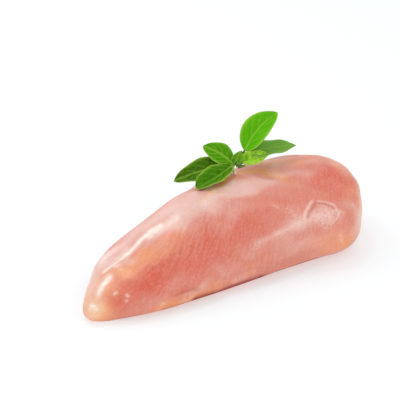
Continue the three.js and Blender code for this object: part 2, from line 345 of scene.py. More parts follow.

# Lines through places given by x and girth, then their half width, and their height or strength.
# A painted sheen: the pale band along the near flank's shoulder, where the wet flesh catches the light.
SHEEN_BAND = [
    ([(5, -43.4), (12, -44.4), (18, -43.8), (32, -44.2), (41, -42)], 2.2, 0.2),
    ([(20, -44.6), (30, -44.4)], 3.6, 0.28),
    ([(34, -43.6), (42, -42), (52, -40.6)], 3.6, 0.24),
]
# Partly the film's own white, at the specks near the tip and the membrane's edge along the base, and partly
# painted light: the crest line and the wide stroke beside it, the tip, the glint at the facet's edge and the
# nose are painted highlights, and the stroke at x 1 to 15 is painted light in the nearest leaf's shade.
WHITE_FILM_AND_HIGHLIGHTS = [
    ([(-71, 0.2), (-63.7, 0.6), (-57.8, 1.4)], 0.9, 0.9),
    ([(-57.8, 1.4), (-47.6, 2), (-42.7, 1.1), (-37.4, -0.5)], 1.5, 0.95),
    ([(-77.6, -6.4), (-70.4, -4.8)], 1.9, 0.9),
    ([(-71.8, -13.8), (-70.4, -14.4)], 0.6, 0.5),
    ([(-66.4, -18.6), (-66, -19.8)], 0.6, 0.5),
    ([(-67.6, -21), (-67, -21.4)], 0.6, 0.45),
    ([(-68, 8), (-58, 14.4)], 2.6, 0.3),
    ([(-83.4, -6), (-81.2, -11)], 0.9, 0.6),
    ([(1, -2), (9, -2.4), (15, -1.2)], 1.6, 0.5),
    ([(-43.5, -0.7), (-38, -2.3), (-28, -4)], 2, 0.6),
    ([(-51.7, -33.9), (-47.6, -35.2), (-43.3, -37), (-38.2, -39.3), (-33, -41.8), (-27.6, -44.2)], 0.4, 0.34),
]
# Painted shade: a dark red contact shadow along the near base, shade in the crease above the lip strip,
# darkening low on the near flank, and a dark line of shade along the crown's edge beside the sprig.
PAINTED_SHADE_LINES = [
    ([(-70, -30.4), (-60, -34.9), (-50, -38.6)], 0.7, 0.5),
    ([(-50, -38.6), (-43, -42), (-37, -45.2), (-33, -46.6)], 0.9, 0.6),
    ([(-34, -46.2), (-27, -49.2), (-20, -52.3), (-12, -54.9), (-4, -57.2), (4, -60)], 1.6, 0.9),
    ([(4, -60), (10, -62), (20, -64.7), (30, -65.9), (41, -67.4)], 1.5, 0.9),
    ([(41, -67.4), (50, -68.8), (60, -65.7), (68, -59)], 0.8, 0.5),
    ([(-43.3, -35.4), (-38.2, -37.7), (-33, -40.2)], 0.6, 0.2),
    ([(-50, -37.6), (-33, -45.4), (-24, -49.4)], 2.6, 0.14),
    ([(5, -57.4), (14, -58.4), (28, -59.8), (42, -61)], 2.8, 0.13),
    ([(48, 20.5), (55, 19), (61, 14.5)], 2, 0.3),
]
PEACH_LINES = [
    ([(-53, -35.6), (-47.6, -37.8), (-43.3, -40), (-38.2, -42.6), (-33, -45), (-27.6, -47.5), (-21, -50)],
     2.7, 0.9),
    ([(-24, -45.3), (-16, -48.8), (-8, -52.4), (0, -55.6)], 0.9, 0.4),
]
WRINKLES = [
    ([(44, -32.2), (41.6, -34.4), (39, -37.4), (35.4, -41.6)], 0.8, 0.27),
    ([(45.4, -33.4), (42.6, -36.6), (40.4, -38.8), (37.4, -42)], 0.7, -0.22),
    ([(46.6, -33), (50, -34.4), (53.6, -37.2)], 0.7, 0.25),
    ([(46.4, -34.8), (49.4, -35.8), (52.6, -38.4)], 0.65, -0.26),
    ([(53.4, -38.4), (54.2, -41.4), (52.2, -44.4), (48.8, -46.8)], 0.7, 0.2),
]
SHOULDER_CREASE = [([(-4, -46), (20, -44.5), (50, -38.5)], 4.2, 0.4)]
MEMBRANE_EDGE = [
    ([(-54, -33), (-47.6, -35.2), (-38.2, -39.3), (-33, -41.8), (-24, -45.3), (-8, -52)], 0.8, 0.22),
]
FAR_CREASES = [([(-40, 22), (10, 30)], 1.6, -0.35), ([(5, 44), (55, 38)], 1.8, -0.3)]

# Waves of relief by their size along each axis, in millimetres, with the count and seed of their draw.
LUMPS = {"size": (30, 17, 17), "count": 24, "seed": 3, "height": 0.3}
BUNDLES = {"size": (30, 3.4), "count": 60, "seed": 5, "height": 0.035}
CRUMPLE = {"size": (4.2, 2.8), "count": 40, "seed": 7, "thin": 0.45, "height": 0.14}
UNDER_HOLLOWS = {"size": (24, 20, 20), "count": 16, "seed": 17, "height": 0.22, "below": 0.5}
WANDER_ALONG = {"size": (17, 12, 12), "count": 20, "seed": 11}
WANDER_ROUND = {"size": (17, 12, 12), "count": 20, "seed": 13}
WAVE_RATES = (0.7, 1.4)

# How far places wander along and round the surface: the reach, and each kind's shares of it.
WANDER_REACH = 2.2
TINT_WANDER = (1, 0.7)
FINE_WANDER = (0.25, 0.16)
WRINKLE_WANDER = (0.12, 0.1)

# The fibres' slope and how it grows with x, and how much they show where no patch asks for them.
FIBRES = {"slope": 1.15, "slope_rate": 0.018}
FIBRES_BELOW = 0.35

# Relief fades out by these shares of the length at the ends, and where the surface turns to face down.
RELIEF_ENDS = {"tip": 0.05, "thick": 0.04}
FACING_UP = {"from": -0.75, "over": 0.6}

# How much painted highlight a wrinkle's ridge gets, and how much painted shade its hollow.
RIDGE_HIGHLIGHT = 1.4
HOLLOW_SHADE = 1.2


def cell_corners(grid, flipped=False):
    """The values at the corners of each cell of a grid, in a quad's order or, flipped, in the reverse."""
    order = [grid[:-1, :-1], grid[1:, :-1], grid[1:, 1:], grid[:-1, 1:]]
    return np.stack(order[::-1] if flipped else order, axis=2)


def breast_grid():
    """The breast on its fine grid: shares of the length that crowd towards both ends, as half of 1 - cos,
    and angles that start and end in the middle of the underside. Gives shares, points, girths and outward
    normals."""
    s = (1 - np.cos(np.pi * np.arange(RINGS + 1) / RINGS)) / 2
    half_under = STEPS_UNDER // 2
    angle = np.concatenate([
        np.linspace(-90, 0, half_under, endpoint=False),
        np.linspace(0, 180, STEPS_OVER, endpoint=False),
        np.linspace(180, 270, half_under + 1),
    ])
    points = breast_points(s[:, None], np.radians(angle)[None, :])
    ring_way = np.gradient(points, axis=0)
    wrapped = np.concatenate([points[:, -2:-1], points, points[:, 1:2]], axis=1)
    step_way = np.gradient(wrapped, axis=1)[:, 1:-1]
    normals = np.cross(ring_way, step_way)
    normals /= np.maximum(np.linalg.norm(normals, axis=2, keepdims=True), 1e-9)
    return s, points, girths(points), normals


def fibre_places(x, girth):
    """Places along and across the muscle fibres, in millimetres. A fibre climbs the surface at a slope that
    grows evenly with x, so what it keeps is the slope's integral less the girth. That is scaled to true
    width."""
    steep = math.atan(FIBRES["slope"])
    climbed = FIBRES["slope"] * x + FIBRES["slope_rate"] / 2 * x**2
    across = (climbed - girth) * math.cos(steep)
    lengthwise = x * math.cos(steep) + girth * math.sin(steep)
    return np.stack([lengthwise, across], axis=-1)


def add_mesh(name, points, quads, triangles, uv_name, uv, marks):
    """A mesh of quads and triangles with smooth faces. uv holds a place for each face corner, and marks the
    values of each named attribute at the points. The points come in millimetres."""
    mesh = bpy.data.meshes.new(name)
    mesh.vertices.add(len(points))
    mesh.vertices.foreach_set("co", (points * MM).astype(np.float32).ravel())
    corners = np.concatenate([quads.ravel(), triangles.ravel()]).astype(np.int32)
    starts = np.concatenate([4 * np.arange(len(quads)), quads.size + 3 * np.arange(len(triangles))])
    mesh.loops.add(len(corners))
    mesh.loops.foreach_set("vertex_index", corners)
    mesh.polygons.add(len(starts))
    mesh.polygons.foreach_set("loop_start", starts.astype(np.int32))
    mesh.polygons.foreach_set("use_smooth", np.ones(len(starts), bool))
    mesh.update(calc_edges=True)
    layer = mesh.uv_layers.new(name=uv_name)
    layer.data.foreach_set("uv", uv.astype(np.float32).ravel())
    for mark, values in marks.items():
        attribute = mesh.attributes.new(mark, "FLOAT", "POINT")
        attribute.data.foreach_set("value", values.astype(np.float32).ravel())
    mesh.validate()
    piece = bpy.data.objects.new(name, mesh)
    bpy.context.scene.collection.objects.link(piece)
    return piece


def wandered(x, girth, wander, shares):
    """Places moved in the surface by their shares of a wander."""
    return x + shares[0] * wander[..., 0], girth + shares[1] * wander[..., 1]


def lined(place, lines):
    """How much of a tint thin lines leave, 0 to 1."""
    return np.clip(strokes(*place, lines), 0, 1)


def as_closed(values):
    """A grid's values at the points of the closed surface: each end ring is one point, and the last column is
    the first again."""
    inner = values[1:-1, :-1]
    return np.concatenate([values[0, :1], inner.reshape(-1, *values.shape[2:]), values[-1, :1]])


def closed_faces(columns, place):
    """Quads between the rings, triangles at the two end points, and the place of each of their corners."""
    index = 1 + np.arange((RINGS - 1) * columns).reshape(RINGS - 1, columns)
    after = np.roll(index, -1, axis=1)
    quads = np.stack([index[:-1], index[1:], after[1:], after[:-1]], axis=-1).reshape(-1, 4)
    first = np.zeros(columns, int)
    last = np.full(columns, index.size + 1)
    triangles = np.concatenate([
        np.stack([first, index[0], after[0]], axis=-1),
        np.stack([last, after[-1], index[-1]], axis=-1),
    ])
    uv = np.concatenate([
        cell_corners(place[1:-1]).reshape(-1, 2),
        np.stack([place[0, :-1], place[1, :-1], place[1, 1:]], axis=1).reshape(-1, 2),
        np.stack([place[-1, :-1], place[-2, 1:], place[-2, :-1]], axis=1).reshape(-1, 2),
    ])
    return quads, triangles, uv


def make_breast():
    """The flesh: the CAD's surface with fine relief laid along its normals, and tints as attributes,
    some of them painted light and shade.
    """
    s, points, girth, normals = breast_grid()
    x = points[..., 0]
    upward = smooth((normals[..., 2] - FACING_UP["from"]) / FACING_UP["over"])
    ends = (smooth(s / RELIEF_ENDS["tip"]) * smooth((1 - s) / RELIEF_ENDS["thick"]))[:, None]
    wander = WANDER_REACH * np.stack([waves(points, WANDER_ALONG), waves(points, WANDER_ROUND)], axis=-1)
    fine = wandered(x, girth, wander, FINE_WANDER)
    tinted = wandered(x, girth, wander, TINT_WANDER)
    fibres = fibre_places(x, girth)
    fibrous = FIBRES_BELOW + (1 - FIBRES_BELOW) * patches(x, girth, FIBROUS)
    crinkled = patches(x, girth, CRINKLED)
    crumple = waves(np.stack([x, girth], axis=-1), CRUMPLE)
    wrinkles = strokes(*wandered(x, girth, wander, WRINKLE_WANDER), WRINKLES)

    relief = LUMPS["height"] * waves(points, LUMPS)
    relief += BUNDLES["height"] * waves(fibres, BUNDLES) * fibrous
    relief += CRUMPLE["height"] * crinkled * bell(crumple / CRUMPLE["thin"])
    relief += wrinkles + strokes(*fine, MEMBRANE_EDGE) + strokes(x, girth, SHOULDER_CREASE)
    relief += strokes(*fine, FAR_CREASES)
    relief = relief * ends * upward

    shaped = points + relief[..., None] * normals
    hollow = UNDER_HOLLOWS["height"] * np.abs(waves(points, UNDER_HOLLOWS))
    lowered = smooth(1 - points[..., 2] / UNDER_HOLLOWS["below"]) * (1 - upward) * ends
    shaped[..., 2] = np.maximum(shaped[..., 2], 0) + hollow * lowered
    low, high = np.array(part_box("chicken_breast")) / MM
    shaped = np.clip(shaped, low, high)

    # The white lines and the wrinkles' ridges take painted highlights; the dark lines and the wrinkles'
    # hollows take painted shade.
    white = strokes(x, girth, WHITE_FILM_AND_HIGHLIGHTS) + RIDGE_HIGHLIGHT * np.maximum(wrinkles, 0)
    shade_mark = strokes(x, girth, PAINTED_SHADE_LINES) + HOLLOW_SHADE * np.maximum(-wrinkles, 0)
    marks = {
        "red_muscle": patches(*tinted, RED_MUSCLE),
        "peach_muscle": np.maximum(patches(*tinted, PEACH_MUSCLE), lined(fine, PEACH_LINES)),
        "amber_and_sprig_shade": patches(*fine, AMBER_AND_SPRIG_SHADE),
        "pale_film_and_sheen": 1 - (1 - patches(*tinted, PALE_FILM_AND_SHEEN)) * (1 - lined(fine, SHEEN_BAND)),
        "fat_and_painted_light": patches(*tinted, FAT_AND_PAINTED_LIGHT),
        "white_film_and_highlights": np.clip(white, 0, 1),
        "painted_shade": np.clip(shade_mark, 0, 1),
        "wet_film": patches(*tinted, WET_FILM),
        "crinkled": crinkled,
        "fibrous": fibrous * upward,
    }
    marks = {name: as_closed(values) for name, values in marks.items()}
    quads, triangles, uv = closed_faces(points.shape[1] - 1, fibres * MM)
    return add_mesh("breast_flesh", as_closed(shaped), quads, triangles, "fibre_flow", uv, marks)


# The sprig as the CAD has it: three places along its stem, and the leaves that grow from them. A leaf's blunt
# oval has its widest place nearer the tip. Young leaves are pale and crumpled, and dull ones show their
# underside's colour.
STEM_FOOT = np.array([19.6, 11.5, 37.3])
LOWER_NODE = np.array([22.3, 18.3, 39.4])
UPPER_NODE = np.array([28.4, 19.2, 44.1])
BETWEEN_NODES = LOWER_NODE + 0.45 * (UPPER_NODE - LOWER_NODE)
STEM_RADIUS = 0.95
STALK_SHARE = 0.07
STALK_HALF_WIDTH = 0.6
LEAF_END_HALF_WIDTH = 0.3
OVAL = {"low": 0.52, "high": 0.74}
BLUNT_OVAL = {"low": 0.62, "high": 0.5}
RIM_WAVES = 2.5
RIM_LAG = 2
LEAF_THICK = 0.42
STALK_THICK = 1.0
LEAF_ROWS = 84
LEAF_COLUMNS = 44
UV_APART = 2.0

LEAVES = [
    {"at": UPPER_NODE, "tip": (52.8, 24.4, 62.4), "faces": (-0.42, -0.79, 0.45), "width": 17,
     "folds": (44, 10), "arch": 1.5, "bow": 2.2, "wave": 0.4, "young": 0.4, "dull": 0},
    {"at": UPPER_NODE, "tip": (58.2, 12.1, 46.1), "faces": (0.12, -0.35, 0.93), "width": 13,
     "folds": (10, 4), "arch": 1, "bow": 0, "wave": 0.5, "young": 0.3, "dull": 0.9},
    {"at": BETWEEN_NODES, "tip": (39.8, 11, 44.8), "faces": (-0.3, -0.55, 0.78), "width": 9,
     "folds": (15, 15), "arch": 0.5, "bow": -1, "wave": 0.3, "young": 0.95, "dull": 0},
    {"at": LOWER_NODE, "tip": (25.8, 17.6, 47), "faces": (-0.5, -0.8, 0.3), "width": 6,
     "folds": (20, 20), "arch": 0.5, "bow": 0, "wave": 0.1, "young": 0.2, "dull": 0},
    {"at": LOWER_NODE, "tip": (10, 31.2, 48), "faces": (-0.25, -0.75, 0.6), "width": 12,
     "folds": (12, 12), "arch": 1.5, "bow": -1, "wave": 0.4, "young": 0.2, "dull": 0},
    {"at": LOWER_NODE, "tip": (-7.7, 31.8, 30.5), "faces": (-0.45, -0.35, 0.82), "width": 15,
     "folds": (15, 15), "arch": 2.5, "bow": 0, "wave": 0.4, "young": 0, "dull": 0},
    {"at": LOWER_NODE, "tip": (-7.6, 5.6, 37.2), "faces": (0, 0, 1), "width": 14.5,
     "folds": (60, 17), "arch": -1, "bow": 0, "wave": 0.3, "oval": BLUNT_OVAL, "young": 0.09, "dull": 0},
    {"at": UPPER_NODE, "tip": (27.6, 14.6, 40.2), "faces": (-0.3, -0.8, 0.5), "width": 5,
     "folds": (25, 25), "arch": 0.6, "bow": 0, "wave": 0.1, "young": 0.3, "dull": 0},
]

# What the scene adds to a leaf. Heights are for a leaf of the full width, and narrower ones have less.
FULL_WIDTH = 17
MIDRIB = {"width": 0.55, "depth": 0.28, "thick": 0.35, "clear": 0.5}
SIDE_VEINS = {"pairs": 5, "sweep": 0.42, "curve": 1.3, "stagger": 0.35, "span": 0.75,
              "width": 0.3, "depth": 0.1}
SWELL_BETWEEN = {"height": 0.26, "from_midrib": 1.5}
OPENING = {"from": 0.6, "over": 0.8}
BLADE_FADE = {"foot": 0.08, "tip": 0.06}
RIM_ROUND = {"side": 8, "end": 60}
RIM_MARK = 10
VEIN_MARK = {"fade": 0.4, "side": 0.45}


def unit(v):
    """The vector at length 1."""
    return np.array(v, float) / np.linalg.norm(v)


def leaf_half_width(share, width, oval):
    """Half the width at a share of the length: a narrow stalk, then an oval t^low (1-t)^high, widest where t
    is low/(low + high)."""
    low, high = oval["low"], oval["high"]
    blade = np.clip((share - STALK_SHARE) / (1 - STALK_SHARE), 0, 1)
    widest = low / (low + high)
    peak = widest**low * (1 - widest) ** high
    least = STALK_HALF_WIDTH + (LEAF_END_HALF_WIDTH - STALK_HALF_WIDTH) * share
    return np.maximum(least, width / 2 * blade**low * (1 - blade) ** high / peak)


def leaf_surface(leaf):
    """Both faces of a leaf on a grid along and across it. From the straight line between its foot and tip the
    midrib arches and bows by half sines, the halves tilt up by their folds and the rim waves. The midrib and
    the side veins are pressed in, the blade swells between them, and the faces meet at the rim."""
    share = ((1 - np.cos(np.pi * np.linspace(0, 1, LEAF_ROWS + 1))) / 2)[:, None]
    across = np.sin(np.pi / 2 * np.linspace(-1, 1, LEAF_COLUMNS + 1))[None, :]
    foot = leaf["at"]
    reach = np.array(leaf["tip"]) - foot
    forward = unit(reach)
    side = unit(np.cross(leaf["faces"], forward))
    facing = np.cross(forward, side)
    half = leaf_half_width(share, leaf["width"], leaf.get("oval", OVAL))
    right = across > 0
    outward = np.abs(across)
    apart = outward * half

    folds = np.radians(leaf["folds"])
    opened = smooth((share - OPENING["from"] * STALK_SHARE) / (OPENING["over"] * STALK_SHARE))
    tilt = np.where(right, folds[1], folds[0]) * opened
    ripple = np.sin(2 * np.pi * RIM_WAVES * share + np.where(right, RIM_LAG, 0))
    aside = leaf["bow"] * np.sin(np.pi * share) + across * half * np.cos(tilt)
    lift = leaf["arch"] * np.sin(np.pi * share) + apart * np.sin(tilt) + leaf["wave"] * across**2 * ripple

    small = leaf["width"] / FULL_WIDTH
    blade = smooth((share - STALK_SHARE) / BLADE_FADE["foot"]) * smooth((1 - share) / BLADE_FADE["tip"])
    inner = blade * (1 - across**4)
    midrib = bell(apart / MIDRIB["width"]) * np.ones_like(share)
    pairs = SIDE_VEINS["pairs"]
    swept = share - SIDE_VEINS["sweep"] * outward ** SIDE_VEINS["curve"]
    phase = pairs * swept + np.where(right, SIDE_VEINS["stagger"], 0)
    off = phase - np.round(phase)
    spacing = SIDE_VEINS["span"] * np.linalg.norm(reach) / pairs
    veins = bell(off * spacing / SIDE_VEINS["width"]) * inner * (1 - bell(apart / MIDRIB["clear"]))
    swell = (1 - np.cos(np.pi * off) ** 2) * inner * smooth(apart / SWELL_BETWEEN["from_midrib"])
    pressed = MIDRIB["depth"] * midrib * blade + SIDE_VEINS["depth"] * veins
    lift = lift + small * (SWELL_BETWEEN["height"] * swell - pressed)

    thick = STALK_THICK + (LEAF_THICK - STALK_THICK) * np.clip(share / (2 * STALK_SHARE), 0, 1)
    thick = thick + MIDRIB["thick"] * small * midrib * (1 - share) * blade
    at_side = np.sqrt(np.maximum(1 - outward ** RIM_ROUND["side"], 0))
    at_end = np.sqrt(np.maximum(1 - np.abs(2 * share - 1) ** RIM_ROUND["end"], 0))
    centre = foot + share[..., None] * reach + aside[..., None] * side + lift[..., None] * facing
    offset = (thick * at_side * at_end / 2)[..., None] * facing
    return {
        "top": centre + offset,
        "under": centre - offset,
        "vein": np.maximum(midrib * (1 - VEIN_MARK["fade"] * share), VEIN_MARK["side"] * veins),
        "rim": outward**RIM_MARK * np.ones_like(share),
        "uv": np.stack([share + 0 * across, across + 0 * share], axis=-1),
    }


def make_leaves():
    """All the leaves in one mesh. A leaf's two grids share the points of their rim, so it is closed."""
    rows, columns = LEAF_ROWS + 1, LEAF_COLUMNS + 1
    inner = (slice(1, -1), slice(1, -1))
    inner_count = (rows - 2) * (columns - 2)
    index = np.arange(rows * columns).reshape(rows, columns)
    lower = index.copy()
    lower[inner] = rows * columns + np.arange(inner_count).reshape(rows - 2, columns - 2)
    faces = np.concatenate([cell_corners(index), cell_corners(lower, flipped=True)]).reshape(-1, 4)
    points, quads, uv = [], [], []
    marks = {"vein": [], "rim": [], "under": [], "young": []}
    for number, leaf in enumerate(LEAVES):
        made = leaf_surface(leaf)
        start = sum(len(p) for p in points)
        points.append(np.concatenate([made["top"].reshape(-1, 3), made["under"][inner].reshape(-1, 3)]))
        quads.append(faces + start)
        place = made["uv"] + np.array([UV_APART * number, 0])
        uv.append(np.concatenate([cell_corners(place), cell_corners(place, flipped=True)]).reshape(-1, 2))
        for name in ("vein", "rim"):
            marks[name].append(np.concatenate([made[name].ravel(), made[name][inner].ravel()]))
        marks["under"].append(np.concatenate([np.full(rows * columns, leaf["dull"]), np.ones(inner_count)]))
        marks["young"].append(np.full(rows * columns + inner_count, leaf["young"]))
    marks = {name: np.concatenate(values) for name, values in marks.items()}
    return add_mesh(
        "sprig_leaves", np.concatenate(points), np.concatenate(quads), np.zeros((0, 3), int), "leaf_place",
        np.concatenate(uv), marks,
    )


def tube(path, radii, sides, squareness):
    """A closed tube: rings round a path, each carried on from the last with no twist, and its ends closed by
    a point. A section is a circle drawn towards a square by its squareness."""
    ways = np.gradient(path, axis=0)
    ways /= np.linalg.norm(ways, axis=1, keepdims=True)
    around = np.linspace(0, 2 * np.pi, sides, endpoint=False)
    section = 1 + squareness * np.cos(4 * around)
    across = unit(np.cross(ways[0], SECTION_START))
    rings = []
    for place, way, radius in zip(path, ways, radii):
        across = unit(across - way * (across @ way))
        other = np.cross(way, across)
        circle = np.cos(around)[:, None] * across + np.sin(around)[:, None] * other
        rings.append(place + radius * section[:, None] * circle)
    points = np.concatenate([[path[0]], np.concatenate(rings), [path[-1]]])
    index = 1 + np.arange(len(path) * sides).reshape(len(path), sides)
    after = np.roll(index, -1, axis=1)
    quads = np.stack([index[:-1], after[:-1], after[1:], index[1:]], axis=-1).reshape(-1, 4)
    first, last = np.zeros(sides, int), np.full(sides, len(points) - 1)
    triangles = np.concatenate([
        np.stack([first, after[0], index[0]], axis=-1),
        np.stack([last, index[-1], after[-1]], axis=-1),
    ])
    return points, quads, triangles


def curve_through(places, count):
    """A smooth curve: a cubic in the share of the way along, fitted through the places."""
    places = np.array(places, float)
    steps = np.linalg.norm(np.diff(places, axis=0), axis=1)
    at = np.concatenate([[0], np.cumsum(steps)]) / steps.sum()
    share = np.linspace(0, 1, count)
    fits = [np.polyfit(at, values, len(places) - 1) for values in places.T]
    return np.stack([np.polyval(fit, share) for fit in fits], axis=-1)


# Tiny shoots between the leaves: foot, way, length and width.
SHOOTS = [
    ((28.6, 19.0, 44.4), (0.1, -0.5, 1.0), 3.4, 1.5),
    ((28.2, 19.4, 44.2), (-0.7, -0.2, 0.9), 3.0, 1.4),
    ((29.0, 18.6, 43.8), (0.6, -0.9, 0.5), 2.8, 1.3),
    ((22.6, 17.6, 39.8), (0.5, -1.0, 0.4), 3.2, 1.5),
    ((22.9, 17.9, 40.2), (0.9, -0.7, 0.9), 3.4, 1.6),
    ((24.6, 18.0, 41.4), (0.2, -1.0, 0.5), 2.6, 1.3),
    ((22.0, 18.0, 39.6), (-0.4, -1.0, 0.5), 2.4, 1.2),
    ((22.8, 16.8, 38.8), (1.0, -0.3, 0.35), 5.4, 2.1),
    ((23.6, 16.2, 37.9), (1.0, -0.2, 0.1), 5.0, 1.8),
    ((26.8, 17.6, 42.2), (0.2, -0.5, -0.8), 3.8, 1.6),
    ((25.4, 17.4, 40.8), (0.8, -0.7, 0.3), 3.6, 1.5),
]
SHOOT_STEPS = 14
SHOOT_SIDES = 10
STEM_RINGS = 36
STEM_SIDES = 20

# The stem is thinner here than in the CAD, swells round its two nodes, closes at its top and narrows at its
# foot. It goes a little past the upper node, and its cut shows over a short reach.
STEM = {"thin": 0.72, "lower_swell": 0.35, "upper_swell": 0.3, "swell_reach": 1.3, "closing": 24,
        "foot": 0.93, "past": 0.2, "cut_reach": 1.8, "square": 0.05}
SHOOT = {"bend": 0.18, "bend_way": (0, 0.3, 0.6), "start": 0.12, "round": 0.9, "taper": 0.35, "least": 0.02,
         "square": 0.12, "fade": 0.5}
# A way that no piece's path takes, from which a tube's first ring is turned.
SECTION_START = (0.3, 0.2, 1)


def make_stem():
    """The stem, its cut foot and the tiny shoots, in one mesh. The stem swells at the nodes by bells. A shoot
    is a tube whose radius rises and closes as a sine, pointed at its tip. Its mark falls from foot to tip."""
    past = UPPER_NODE + STEM["past"] * (UPPER_NODE - LOWER_NODE)
    path = curve_through([STEM_FOOT, LOWER_NODE, UPPER_NODE, past], STEM_RINGS)
    share = np.linspace(0, 1, STEM_RINGS)
    to_lower = np.linalg.norm(path - LOWER_NODE, axis=1) / STEM["swell_reach"]
    to_upper = np.linalg.norm(path - UPPER_NODE, axis=1) / STEM["swell_reach"]
    swollen = 1 + STEM["lower_swell"] * bell(to_lower) + STEM["upper_swell"] * bell(to_upper)
    radii = STEM["thin"] * STEM_RADIUS * swollen * np.sqrt(np.clip(1 - share ** STEM["closing"], 0, 1))
    radii[0] *= STEM["foot"]
    parts = [tube(path, radii, STEM_SIDES, STEM["square"])]
    shoot_marks = [np.zeros(len(parts[0][0]))]
    cut_marks = [bell(np.linalg.norm(parts[0][0] - STEM_FOOT, axis=1) / STEM["cut_reach"])]
    t = np.linspace(0, 1, SHOOT_STEPS)
    rounding = np.sin(np.pi * (SHOOT["start"] + (1 - SHOOT["start"]) * t)) ** SHOOT["round"]
    falling = 1 - SHOOT["fade"] * np.concatenate([[0], np.repeat(t, SHOOT_SIDES), [1]])
    for foot, way, length, width in SHOOTS:
        bend = SHOOT["bend"] * length * np.sin(np.pi * t)[:, None] * np.array(SHOOT["bend_way"])
        shoot_path = np.array(foot) + t[:, None] * length * unit(way) + bend
        shoot_radii = np.maximum(width / 2 * rounding * (1 - SHOOT["taper"] * t), SHOOT["least"])
        parts.append(tube(shoot_path, shoot_radii, SHOOT_SIDES, SHOOT["square"]))
        shoot_marks.append(falling)
        cut_marks.append(np.zeros(len(parts[-1][0])))
    starts = np.concatenate([[0], np.cumsum([len(p[0]) for p in parts])])[:-1]
    points = np.concatenate([p[0] for p in parts])
    quads = np.concatenate([p[1] + start for p, start in zip(parts, starts)])
    triangles = np.concatenate([p[2] + start for p, start in zip(parts, starts)])
    uv = np.concatenate([points[quads.ravel()][:, [0, 2]], points[triangles.ravel()][:, [0, 2]]]) * MM
    marks = {"shoot": np.concatenate(shoot_marks), "cut": np.concatenate(cut_marks)}
    return add_mesh("sprig_stem", points, quads, triangles, "stem_place", uv, marks)


def srgb(red, green, blue):
    """A colour given as 0 to 255 screen values, in the linear light that the shaders use."""
    shares = np.array([red, green, blue]) / 255
    linear = np.where(shares <= 0.04045, shares / 12.92, ((shares + 0.055) / 1.055) ** 2.4)
    return (*linear, 1.0)


def link(tree, source, target):
    """Joins an output socket to an input socket."""
    tree.links.new(source, target)


def node_of(tree, kind, **settings):
    """A new node with its plain settings and, in `inputs`, values for its sockets by name or number."""
    inputs = settings.pop("inputs", {})
    made = tree.nodes.new(kind)
    for name, value in settings.items():
        setattr(made, name, value)
    for name, value in inputs.items():
        made.inputs[name].default_value = value
    return made


def math_node(tree, operation, first, second, clamp=False):
    """The result of an operation on two sockets or numbers, clamped to 0 to 1 if asked."""
    made = node_of(tree, "ShaderNodeMath", operation=operation, use_clamp=clamp)
    for slot_number, value in enumerate((first, second)):
        if isinstance(value, (int, float)):
            made.inputs[slot_number].default_value = value
        else:
            link(tree, value, made.inputs[slot_number])
    return made.outputs[0]


def times(tree, first, second):
    """The product of two sockets or numbers."""
    return math_node(tree, "MULTIPLY", first, second)


def plus(tree, first, second, clamp=False):
    """The sum of two sockets or numbers, clamped to 0 to 1 if asked."""
    return math_node(tree, "ADD", first, second, clamp)


def less(tree, first, second, clamp=False):
    """The first less the second, clamped to 0 to 1 if asked."""
    return math_node(tree, "SUBTRACT", first, second, clamp)


def above_zero(tree, value):
    """The value where it is over 0, and 0 elsewhere."""
    return math_node(tree, "MAXIMUM", value, 0.0)


def ranged(tree, value, start, end):
    """A value from 0 to 1 carried evenly to a range from start to end."""
    made = node_of(tree, "ShaderNodeMapRange", inputs={"To Min": start, "To Max": end})
    link(tree, value, made.inputs["Value"])
    return made.outputs[0]


def risen(tree, value, start, end):
    """0 up to a start, 1 past an end, and even between them."""
    made = node_of(tree, "ShaderNodeMapRange", inputs={"From Min": start, "From Max": end})
    link(tree, value, made.inputs["Value"])
    return made.outputs[0]


def mixed(tree, share, first, second):
    """Two colours mixed by a share, each a socket or a colour."""
    made = node_of(tree, "ShaderNodeMix", data_type="RGBA", blend_type="MIX")
    for name, value in (("Factor_Float", share), ("A_Color", first), ("B_Color", second)):
        socket = next(s for s in made.inputs if s.identifier == name)
        if isinstance(value, (int, float, tuple)):
            socket.default_value = value
        else:
            link(tree, value, socket)
    return next(s for s in made.outputs if s.identifier == "Result_Color")


def layered(tree, colour, layers):
    """A colour with others laid over it in turn, each by its share."""
    for share, laid in layers:
        colour = mixed(tree, share, colour, laid)
    return colour


def new_group(name, sockets, output):
    """An empty shader node group with number or vector inputs and one number output, and its end nodes."""
    group = bpy.data.node_groups.new(name, "ShaderNodeTree")
    for socket_name, kind, value in sockets:
        made = group.interface.new_socket(name=socket_name, in_out="INPUT", socket_type=kind)
        if value is not None:
            made.default_value = value
    group.interface.new_socket(name=output, in_out="OUTPUT", socket_type="NodeSocketFloat")
    return group, group.nodes.new("NodeGroupInput"), group.nodes.new("NodeGroupOutput")


def make_fibre_group():
    """Streaks of muscle fibre from -1 to 1: noise stretched along the fibres, placed by the UV map."""
    group, given, result = new_group(
        "Fibre streaks",
        [("Place", "NodeSocketVector", None), ("Stretch", "NodeSocketVector", None),
         ("Wander", "NodeSocketFloat", 0.3)],
        "Streak",
    )
    stretched = node_of(group, "ShaderNodeVectorMath", operation="MULTIPLY")
    link(group, given.outputs["Place"], stretched.inputs[0])
    link(group, given.outputs["Stretch"], stretched.inputs[1])
    noise = node_of(group, "ShaderNodeTexNoise", noise_dimensions="2D",
                    inputs={"Scale": 1.0, "Detail": 3.0, "Roughness": 0.6})
    link(group, stretched.outputs[0], noise.inputs["Vector"])
    link(group, given.outputs["Wander"], noise.inputs["Distortion"])
    spread = node_of(group, "ShaderNodeMapRange",
                     inputs={"From Min": 0.25, "From Max": 0.75, "To Min": -1.0, "To Max": 1.0})
    link(group, noise.outputs[0], spread.inputs["Value"])
    link(group, spread.outputs[0], result.inputs["Streak"])
    return group


